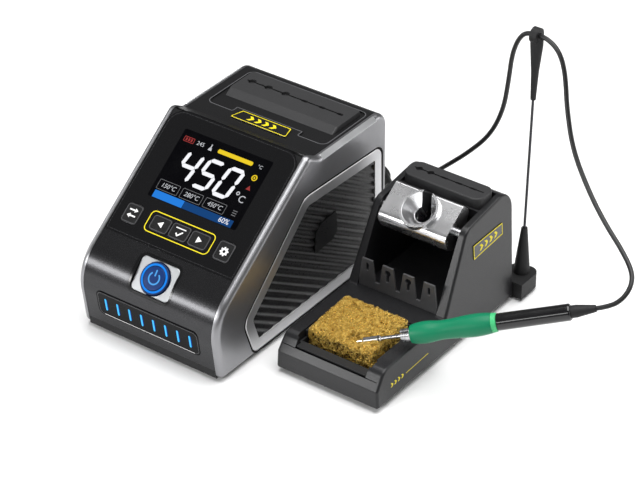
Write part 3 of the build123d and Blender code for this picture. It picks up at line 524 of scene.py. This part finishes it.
DRESSED = {
    "fascia": ("fascia", 0.0), "power_bezel": ("bezel", 0.3), "power_plate": ("plate", 0.3),
    "power_ring": ("ring_navy", 0.3), "power_button": ("button", 0.0), "led_panel": ("led_black", 0.25),
    "led_bars": ("bar_edge", 0.2), "display_glass": ("glass", 0.45), "front_frame": ("cap", 0.0),
    "lcd_module": ("lcd_back", 0.0), "control_board": ("board", 0.0), "main_shell": ("cap", 0.0),
    "cap_pad": ("pad", 0.25), "cap_badge": ("gloss", 0.2),
    "side_shell_left": ("shell", 0.0), "side_shell_right": ("shell", 0.0),
    "trim_frame_left": ("frame", 0.4), "trim_frame_right": ("frame", 0.4),
    "ribbed_panel_left": ("rib", 0.0), "ribbed_panel_right": ("rib", 0.0),
    "top_trims": ("strip", 0.2), "base_pan": ("matte", 0.0), "console_feet": ("rubber", 0.0),
    "main_board": ("board", 0.0), "transformer": ("tape", 0.0), "heat_sink": ("heat_sink", 0.0),
    "rear_panel": ("matte", 0.0), "iec_inlet": ("gloss", 0.4), "handle_socket": ("steel", 0.3),
    "rear_screws": ("steel", 0.3), "stand_shell": ("stand", 0.5), "stand_base": ("matte", 0.0),
    "stand_feet": ("rubber", 0.0), "stand_weight": ("steel", 0.0), "wool_tray": ("matte", 0.2),
    "tip_plate": ("tab", 0.2), "holder_pins": ("steel", 0.3), "stand_pad": ("pad", 0.25),
    "side_badge": ("gloss", 0.1), "rod_boot": ("rubber", 0.0), "cord_rod": ("rod", 0.0), "rod_clip": ("rubber", 0.0),
    "holder": ("holder", 0.3), "cartridge": ("chrome", 0.0), "collet": ("steel", 0.2), "grip": ("grip", 0.0),
    "grip_ring": ("grip_ring", 0.2), "handle_tube": ("gloss", 0.3), "strain_relief": ("rubber", 0.0),
    "cord_plug": ("rubber", 0.3),
    "key_channel": ("key", 0.3), "key_settings": ("key", 0.3), "key_left": ("key", 0.3), "key_mode": ("key", 0.3),
    "key_right": ("key", 0.3),
}
for cad_name, (finish_name, round_mm) in DRESSED.items():
    dress(cad_name, finish_name, round_mm)

# ---------------------------------------------------------------- cord
cord_line = nurbs_line(REAR + coil_points() + RISE + LEAD)
cord = piece("cord", tube_mesh("cord", cord_line, CORD_D / 2 * MM), "cord", None)
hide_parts("cord_rear", "cord_coil", "cord_rise", "cord_lead")
cord_length = sum((b - a).length for a, b in zip(cord_line, cord_line[1:]))
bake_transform(cord)
print("cord length", round(cord_length, 4))

# ---------------------------------------------------------------- display
def glass_plate(name, outlines, mat, lift=0.02, thick=0.03):
    return plate(name, GLASS, outlines, lift, lift + thick, mat)


glass_plate("lcd_field", [rectangle(-0.2, 50.2, 64.0, 45.5, 1.2)], "lcd_back", 0.01, 0.02)

LEAN = 0.17


def segment(shape, x, y, width, height, thick):
    """One stroke of a seven-stroke figure, as an outline with pointed ends, leaning to the right."""
    gap = 0.12
    half = thick / 2
    ends = {
        "top": ((0, height), (width, height)), "middle": ((0, height / 2), (width, height / 2)),
        "bottom": ((0, 0), (width, 0)), "upper_left": ((0, height / 2), (0, height)),
        "upper_right": ((width, height / 2), (width, height)), "lower_left": ((0, 0), (0, height / 2)),
        "lower_right": ((width, 0), (width, height / 2)),
    }
    (x0, y0), (x1, y1) = ends[shape]
    if y0 == y1:
        flat = [(x0 + gap, y0), (x0 + half + gap, y0 - half), (x1 - half - gap, y0 - half),
                (x1 - gap, y0), (x1 - half - gap, y0 + half), (x0 + half + gap, y0 + half)]
    else:
        flat = [(x0, y0 + gap), (x0 + half, y0 + half + gap), (x0 + half, y1 - half - gap),
                (x0, y1 - gap), (x0 - half, y1 - half - gap), (x0 - half, y0 + half + gap)]
    return [(x + px + LEAN * py, y + py) for px, py in flat]


FIGURES = {
    "4": ("upper_left", "middle", "upper_right", "lower_right"),
    "5": ("top", "upper_left", "middle", "lower_right", "bottom"),
    "0": ("top", "upper_left", "upper_right", "lower_left", "lower_right", "bottom"),
}
strokes = []
for place, figure in enumerate("450"):
    for shape in FIGURES[figure]:
        strokes.append(segment(shape, -23.5 + 14.6 * place, 43.0, 9.4, 17.8, 2.45))
glass_plate("readout", strokes, "glow_white", 0.05)
join("readout_unit", [
    prism_mesh("degree", GLASS, [circle(21.2, 48.3, 1.2, 20), circle(21.2, 48.3, 0.6, 20)], 0.05, 0.08),
    letters("unit", "C", GLASS, 25.2, 45.6, 6.2, 0.06),
], "glow_soft")
join("presets", [
    letters(f"preset_{k}", figures, GLASS, x, 36.3, 4.0, 0.06, shear=0.15)
    for k, (figures, x) in enumerate((("150°C", -22.0), ("280°C", -5.2), ("450°C", 11.6)))
], "glow_soft")
preset_boxes = []
for x in (-22.0, -5.2, 11.6):
    preset_boxes += [rectangle(x, 36.3, 15.0, 6.4, 0.8), rectangle(x, 36.3, 14.4, 5.8, 0.6)]
glass_plate("preset_boxes", preset_boxes, "grey_print_and_highlight", 0.05)
glass_plate("progress_low", [rectangle(-18.2, 30.0, 21.6, 4.6)], "glow_blue", 0.05)
glass_plate("progress_high", [rectangle(10.4, 30.0, 35.2, 4.6)], "glow_deep", 0.05)
join("progress_figure", [letters("share", "60%", GLASS, 22.0, 30.1, 4.4, 0.10)], "glow_white")
glass_plate("top_pill", [rectangle(7.6, 67.4, 25.0, 2.6, 1.0)], "glow_yellow", 0.05)
glass_plate("top_chip", [rectangle(-26.0, 67.2, 7.4, 3.4, 0.6), rectangle(-26.0, 67.2, 6.6, 2.6, 0.4)],
            "glow_red", 0.05)
glass_plate("top_chip_bars", [rectangle(-27.8 + 1.8 * k, 67.2, 1.1, 1.8) for k in range(3)], "glow_red", 0.05)
join("top_figures", [letters("top_number", "245", GLASS, -17.6, 67.2, 3.6, 0.06),
                     letters("top_unit", "°C", GLASS, 25.4, 67.3, 3.0, 0.06)], "glow_soft")
glass_plate("iron_mark", [[(-11.6, 65.6), (-9.0, 65.6), (-9.4, 67.2), (-9.9, 67.2), (-10.0, 69.6), (-10.6, 69.6),
                           (-10.7, 67.2), (-11.2, 67.2)]], "glow_soft", 0.05)
glass_plate("lamp_yellow", [circle(25.6, 60.2, 1.9, 24), circle(25.6, 60.2, 1.2, 24), circle(25.6, 60.2, 0.6, 12)],
            "glow_yellow", 0.05)
glass_plate("lamp_red", [[(24.0, 52.2), (27.2, 52.2), (25.6, 55.0)]], "glow_red", 0.05)
glass_plate("lamp_grey", [rectangle(25.6, 36.6, 3.0, 0.5), rectangle(25.6, 38.0, 3.0, 0.5),
                          rectangle(25.6, 35.2, 3.0, 0.5)], "grey_print_and_highlight", 0.05)


def key_ring(inset):
    return rectangle(0.1, 14.2, 46.6 - 2 * inset, 13.6 - 2 * inset, 3.2 - inset)


plate("bank_ring", GLASS, ring_outlines(key_ring, 0.55), 0.0, 0.14, "yellow")

KEYS = {"key_channel": (-34.5, 13.8, 11.2, 12.2), "key_settings": (32.4, 13.8, 11.2, 12.2),
        "key_left": (-13.9, 14.2, 13.2, 9.8), "key_mode": (0.1, 14.2, 13.2, 9.8), "key_right": (14.1, 14.2, 13.2, 9.8)}
KEY_TOP = 0.2
for key, (x, y, wide, high) in KEYS.items():
    def outline(inset):
        return rectangle(x, y, wide - 0.9 - 2 * inset, high - 0.9 - 2 * inset, 1.7 - inset)
    plate(f"{key}_line", GLASS, ring_outlines(outline, 0.28), KEY_TOP - 0.02, KEY_TOP + 0.03, "grey_print_and_highlight",
          f"{key[4:]}_key")
ICON = (KEY_TOP + 0.0, KEY_TOP + 0.05)


def icon(name, outlines, body):
    plate(name, GLASS, outlines, *ICON, "white_print", body)


icon("left_arrow", [[(-15.9, 14.2), (-12.4, 12.2), (-12.4, 16.2)]], "left_key")
icon("right_arrow", [[(16.1, 14.2), (12.6, 12.2), (12.6, 16.2)]], "right_key")
icon("mode_mark", [
    rectangle(0.1, 16.4, 7.2, 0.6, 0.2),
    [(-2.2, 12.9), (-1.6, 13.5), (-0.5, 12.4), (2.1, 15.0), (2.7, 14.4), (-0.5, 11.2)],
], "mode_key")
icon("channel_mark", [
    [(-37.4, 15.6), (-33.6, 15.6), (-33.6, 14.7), (-31.4, 16.1), (-33.6, 17.5), (-33.6, 16.5), (-37.4, 16.5)],
    [(-31.6, 12.9), (-35.4, 12.9), (-35.4, 13.9), (-37.6, 12.4), (-35.4, 11.0), (-35.4, 12.0), (-31.6, 12.0)],
], "channel_key")
cog = []
for k in range(32):
    turn = 2 * math.pi * (k + 0.5) / 32
    reach = 2.9 if (k // 2) % 2 == 0 else 2.15
    cog.append((32.4 + reach * math.cos(turn), 13.8 + reach * math.sin(turn)))
icon("settings_mark", [cog, circle(32.4, 13.8, 0.95, 20)], "settings_key")


def glass_rim(inset):
    """The glass's outline, a distance in from its edge."""
    half, length, corner = CORE_HALF - inset, GLASS_LENGTH - inset, GLASS_CORNER - inset
    return rounded([(-half, inset), (half, inset), (half, length), (-half, length)], [0.4, 0.4, corner, corner], 10)


# painted highlight: a thin bright line just inside the glass's edge stands for its bevel catching the light
plate("glass_edge_highlight", GLASS, [glass_rim(1.1), glass_rim(1.35)], 0.0, 0.035, "edge")

# ---------------------------------------------------------------- power key and light bars
POWER_TOP = 1.2
LED_SIZE = (74.5, 17.5)
arc = [(3.1 * math.sin(math.radians(a)), 3.1 * math.cos(math.radians(a))) for a in range(38, 323, 6)]
arc += [(4.0 * math.sin(math.radians(a)), 4.0 * math.cos(math.radians(a))) for a in range(322, 37, -6)]
plate("power_symbol", POWER, [arc, rectangle(0, 3.2, 0.9, 4.0, 0.4)], POWER_TOP - 0.02, POWER_TOP + 0.05,
      "symbol", "button")
plate("power_glow", POWER, [circle(0, 0, 8.7, 64), circle(0, 0, 7.5, 64)], 1.0, 1.08, "ring_blue", "button")
bar_shapes = []
for k in range(8):
    bar_shapes.append(rectangle((k - 3.5) * 8.8, 0, 1.15, 8.7, 0.55))
plate("bar_cores", LED, bar_shapes, 0.10, 0.16, "bar_core")


def led_rim(inset):
    return rectangle(0, 0, LED_SIZE[0] - 2 * inset, LED_SIZE[1] - 2 * inset, 3.8 - inset)


# painted highlight: a thin bright line along the light-bar panel's rim stands for its edge catching the light
plate("led_rim_highlight", LED, [led_rim(0.75), led_rim(1.0)], 0.0, 0.04, "edge")
plate("led_low_line", LED, [rectangle(0, -7.95, 66.0, 0.34, 0.1)], 0.02, 0.07, "white_print")

# ---------------------------------------------------------------- cap
BADGE_X = 2.0


def badge(inset):
    corners = [(-20 + inset, 83.0 + inset), (20 - inset, 83.0 + inset),
               (17.6 - inset, 92.0 - inset), (-17.6 + inset, 92.0 - inset)]
    return rounded([(x + BADGE_X, y) for x, y in corners], 0.9)


def chevron(x, y, size=1.0):
    """An arrow-shaped stroke pointing along x, drawn from its lower left corner."""
    points = [(0, 0), (2.2, 0), (4.2, 2.2), (2.2, 4.4), (0, 4.4), (2.0, 2.2)]
    return [(x + a * size, y + b * size) for a, b in points]


plate("cap_badge_line", CAP, ring_outlines(badge, 0.5), 0.8, 0.9, "yellow")
plate("cap_badge_mark", CAP, [chevron(BADGE_X - 10.3 + 5.4 * k, 85.3) for k in range(4)], 0.8, 0.88, "yellow")

# ---------------------------------------------------------------- side details
WINDOW = [(12.6, 4.2), (3.6, 29.8), (62.7, 85.0), (139.0, 81.8), (140.6, 4.2)]


def moved_out(outline, distance):
    """An outline with each point moved square to it; a positive distance makes it bigger."""
    area = sum(a[0] * b[1] - b[0] * a[1] for a, b in zip(outline, outline[1:] + outline[:1]))
    turn = math.copysign(1, area)
    made = []
    for k, point in enumerate(outline):
        way = Vector(outline[(k + 1) % len(outline)]) - Vector(outline[k - 1])
        made.append(tuple(Vector(point) + Vector((way.y, -way.x)).normalized() * distance * turn))
    return made


RECESS = [(-40.5, 90), (-22, 90), (-22, 94.8), (26, 94.8), (26, 90), (44.5, 90), (44.5, 133), (-40.5, 133)]
recess = rounded(RECESS, [4, 0.8, 0.8, 0.8, 0.8, 4, 4, 4])
# painted highlight: a thin light-grey line along the cap recess's edge stands for light caught by the step
plate("cap_recess_highlight", CAP, [moved_out(recess, 0.70), moved_out(recess, 0.15)], 0.0, 0.05, "grey_print_and_highlight")
window = rounded(WINDOW, [6, 10, 12, 7, 6], 10)
for word, way in (("left", -1), ("right", 1)):
    plate(f"side_groove_{word}", side(way, CONSOLE_HALF), [moved_out(window, 0.75), moved_out(window, -0.15)],
          -0.02 if way > 0 else -0.05, 0.05 if way > 0 else 0.02, "groove")

PANEL = 48.6
RIB_WAY = Vector((math.cos(math.radians(-32)), math.sin(math.radians(-32))))
RIB_UP = Vector((-RIB_WAY.y, RIB_WAY.x))


def rib_mesh(name, way, outline):
    """A closed panel whose outer face runs in round ribs, cut to a convex outline."""
    start = Vector((75, 40))
    flat = [((Vector(p) - start).dot(RIB_WAY), (Vector(p) - start).dot(RIB_UP)) for p in outline]
    low, high = min(p[1] for p in flat), max(p[1] for p in flat)
    verts, faces = [], []
    rows = int((high - low) / 0.3)
    for j in range(rows + 1):
        w = low + 0.02 + (high - low - 0.04) * j / rows
        crossings = []
        for k, (u1, w1) in enumerate(flat):
            u0, w0 = flat[k - 1]
            if (w0 - w) * (w1 - w) < 0:
                crossings.append(u0 + (u1 - u0) * (w - w0) / (w1 - w0))
        height = 1.0 + 1.05 * (0.5 + 0.5 * math.cos(2 * math.pi * w / 4.8)) ** 0.8
        for u in (min(crossings), max(crossings)):
            spot = start + RIB_WAY * u + RIB_UP * w
            verts += [at(way * (PANEL + height), spot.x, spot.y), at(way * PANEL, spot.x, spot.y)]
    for j in range(rows):
        a, b = 4 * j, 4 * j + 4
        faces += [(a, a + 2, b + 2, b), (a + 1, b + 1, b + 3, a + 3)]
        faces += [(a, b, b + 1, a + 1), (a + 2, a + 3, b + 3, b + 2)]
    faces += [(0, 1, 3, 2), (4 * rows, 4 * rows + 2, 4 * rows + 3, 4 * rows + 1)]
    if way < 0:
        faces = [tuple(reversed(face)) for face in faces]
    mesh = bpy.data.meshes.new(name)
    mesh.from_pydata(verts, [], faces)
    return mesh


boss_line = rounded([(72.0, 41.0), (73.0, 54.0), (79.0, 58.5), (92.5, 59.5), (94.0, 45.5), (90.0, 42.0)], 1.0)
for word, way in (("left", -1), ("right", 1)):
    ribs = piece(f"ribs_{word}", rib_mesh(f"ribs_{word}", way, moved_out(window, -7.9)), "rib", angle=60)
    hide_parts(f"ribbed_panel_{word}")
    low, high = (0.2, 2.3) if way > 0 else (-2.3, -0.2)
    plate(f"side_boss_{word}", side(way, PANEL), [boss_line], low, high, "key", slot="gloss_black")
    low, high = (0.2, 2.1) if way > 0 else (-2.1, -0.2)
    plate(f"side_boss_edge_{word}", side(way, PANEL), [moved_out(boss_line, 0.45)], low, high, "groove")

DRAFT = math.radians(2.8)


def stand_side(z):
    """Local x runs to the rear and local y up the sloped right cheek, from a height on it."""
    return plane(at(STAND_X + 35.5 - z * math.tan(DRAFT), 0, z), (0, 1, 0), (math.cos(DRAFT), 0, math.sin(DRAFT)))


BADGE_SIDE = stand_side(59.5)


def side_badge(inset):
    return [(109.0 + inset, -inset), (139.0 - inset, 0.2 - inset), (139.4 - inset, -7.6 + inset),
            (109.4 + inset, -9.4 + inset)]


plate("side_badge_line", BADGE_SIDE, ring_outlines(side_badge, 0.6), 0.4, 0.48, "yellow")
plate("side_badge_mark", BADGE_SIDE, [chevron(115.2 + 5.0 * k, -6.5 + 0.2 * k, 0.9) for k in range(4)], 0.4, 0.47,
      "yellow")
LOW_SIDE = stand_side(11.0)
plate("side_line", LOW_SIDE, [[(40.0, 0.95), (62.0, 1.6), (62.0, 2.0), (40.0, 1.35)]]
      + [chevron(25.0 + 3.4 * k, -0.2 + 0.1 * k, 0.6) for k in range(4)], 0.0, 0.05, "yellow")

# ---------------------------------------------------------------- brass wool
TIP = at(108.4, 33.5, 25.0)
IRON_WAY = Vector((0.862, 0.4215, 0.283)).normalized()
WOOL = [v.copy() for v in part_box("brass_wool")]
WOOL_FRONT = 0.0023


def wool_top(x, y):
    """The wool's upper surface: higher to the rear, round at its edges, pressed down along the tip."""
    low, high = WOOL
    v = (y - low.y) / (high.y - low.y)
    edge = min(x - low.x, high.x - x, y - low.y, high.y - y)
    z = high.z - 0.0006 - WOOL_FRONT * (1 - v) - 0.0022 * max(0.0, 1 - edge / 0.005) ** 2
    flat = Vector((IRON_WAY.x, IRON_WAY.y))
    from_tip = Vector((x - TIP.x, y - TIP.y))
    along = from_tip.dot(flat) / flat.length
    across = abs(from_tip.x * flat.y - from_tip.y * flat.x) / flat.length
    pressed = TIP.z - 0.0004 + max(0.0, along) * IRON_WAY.z / flat.length
    reach = max(0.0, across - 0.0026) + max(0.0, -0.0022 - along)
    share = max(0.0, 1 - reach / 0.0045)
    share = share * share * (3 - 2 * share)
    return z + (min(z, pressed) - z) * share


def brass_wool():
    """Fine curled shavings over the top and the sides of a bed coloured dark as painted shade."""
    low, high = WOOL
    rng = random.Random(7)
    verts, faces = [], []
    width = 0.00034
    for strand in range(4800):
        wall = strand % 4 == 0
        cx = rng.uniform(low.x + 0.0010, high.x - 0.0010)
        cy = rng.uniform(low.y + 0.0010, high.y - 0.0010)
        if wall:
            number = rng.randrange(4)
            cx = (low.x + 0.0008, high.x - 0.0008, cx, cx)[number]
            cy = (cy, cy, low.y + 0.0008, high.y - 0.0008)[number]
        top = wool_top(cx, cy)
        cz = top - rng.random() * 0.013 if wall else top - 0.0002 - rng.random() ** 1.5 * 0.0022
        radius = rng.uniform(0.0005, 0.0011)
        turns = rng.uniform(0.8, 2.2)
        pitch = rng.uniform(0.0005, 0.0013)
        tilt = Matrix.Rotation(rng.uniform(0, math.pi), 3, "Z") @ Matrix.Rotation(rng.uniform(0.3, 1.5), 3, "X")
        phase = rng.uniform(0, 2 * math.pi)
        steps = int(9 * turns)
        base = len(verts)
        for k in range(steps + 1):
            a = phase + 2 * math.pi * turns * k / steps
            ca, sa = math.cos(a), math.sin(a)
            spot = tilt @ Vector((radius * ca, radius * sa, pitch * turns * (k / steps - 0.5)))
            twist = tilt @ Vector((ca * 0.33, sa * 0.33, 0.94)) * (width / 2)
            for sign in (-1, 1):
                verts.append((min(max(cx + spot.x + twist.x * sign, low.x), high.x),
                              min(max(cy + spot.y + twist.y * sign, low.y), high.y),
                              max(cz + spot.z + twist.z * sign, low.z)))
        for k in range(steps):
            a = base + 2 * k
            faces.append((a, a + 1, a + 3, a + 2))
    mesh = bpy.data.meshes.new("brass_curls")
    mesh.from_pydata(verts, [], faces)
    obj = piece("brass_curls", mesh, "brass", "station", 180)
    thick = obj.modifiers.new("thick", "SOLIDIFY")
    thick.thickness = 0.00010
    return obj


def wool_bed():
    """The mass below the curls, coloured dark brown as painted shade among the curls: a grid under the surface with
    straight sides.
    """
    low, high = WOOL
    rows, columns, inset = 34, 40, 0.0018
    wave = random.Random(11)
    points, sides = [], []
    for j in range(rows + 1):
        for i in range(columns + 1):
            x = low.x + inset + (high.x - low.x - 2 * inset) * i / columns
            y = low.y + inset + (high.y - low.y - 2 * inset) * j / rows
            points.append((x, y, wool_top(x, y) - 0.0024 + wave.uniform(-0.0005, 0.0005)))
    for j in range(rows):
        for i in range(columns):
            a = j * (columns + 1) + i
            sides.append((a, a + 1, a + columns + 2, a + columns + 1))
    rim = list(range(columns + 1)) + [j * (columns + 1) + columns for j in range(1, rows + 1)]
    rim += [rows * (columns + 1) + i for i in range(columns - 1, -1, -1)]
    rim += [j * (columns + 1) for j in range(rows - 1, 0, -1)]
    base = len(points)
    for k in rim:
        points.append((points[k][0], points[k][1], low.z))
    for k in range(len(rim)):
        n = (k + 1) % len(rim)
        sides.append((rim[n], rim[k], base + k, base + n))
    sides.append(tuple(reversed(range(base, base + len(rim)))))
    mesh = bpy.data.meshes.new("wool_bed")
    mesh.from_pydata(points, [], sides)
    return piece("wool_bed", mesh, "brass_painted_shade", "station", 60)


curls = brass_wool()
bed = wool_bed()
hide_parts("brass_wool")

# ---------------------------------------------------------------- iron details
IRON = plane(TIP, (-IRON_WAY.y, IRON_WAY.x, 0), IRON_WAY)
piece("cartridge_band", lathe_mesh("cartridge_band", IRON, [(12.55, 1.4), (12.6, 2.03), (13.7, 2.03), (13.75, 1.4)]),
      "dark_ring", "iron")

# ---------------------------------------------------------------- light, floor
world = bpy.data.worlds.new("world")
bpy.context.scene.world = world
world.use_nodes = True
world.node_tree.nodes["Background"].inputs["Color"].default_value = (1, 1, 1, 1)
world.node_tree.nodes["Background"].inputs["Strength"].default_value = 0.16
bpy.context.scene.view_settings.view_transform = "Standard"


def soft_box(name, place, target, size, power, size_y=None):
    light = bpy.data.lights.new(name, "AREA")
    light.shape = "RECTANGLE"
    light.size = size
    light.size_y = size_y or size
    light.energy = power
    lamp = bpy.data.objects.new(name, light)
    bpy.context.scene.collection.objects.link(lamp)
    lamp.location = place
    lamp.rotation_mode = "QUATERNION"
    lamp.rotation_quaternion = (Vector(place) - Vector(target)).to_track_quat("Z", "Y")
    return lamp


centre = (0, 0, 0.05)
soft_box("top_light", (0.15, 0.10, 1.30), centre, 1.4, 32)
soft_box("front_strip", (-0.10, -1.30, 0.55), centre, 1.0, 4.0, 0.16)
soft_box("right_low", (1.05, 0.95, 0.30), centre, 1.0, 6, 0.5)
soft_box("nose_light", (-0.72, -1.04, 0.43), (-0.09, -0.08, 0.045), 0.45, 7, 0.22)
soft_box("left_strip", (-1.2, -0.2, 0.5), centre, 0.2, 3.0, 1.2)

floor_mesh = bpy.data.meshes.new("floor")
floor_mesh.from_pydata([(-6, -6, 0), (6, -6, 0), (6, 6, 0), (-6, 6, 0)], [], [(0, 1, 2, 3)])
floor = bpy.data.objects.new("floor", floor_mesh)
bpy.context.scene.collection.objects.link(floor)
floor_mesh.materials.append(material("pale_floor", (0.86, 0.86, 0.86), 0.5, blotch=0.01, rough_by=0.05))
floor.location.z = -0.0002
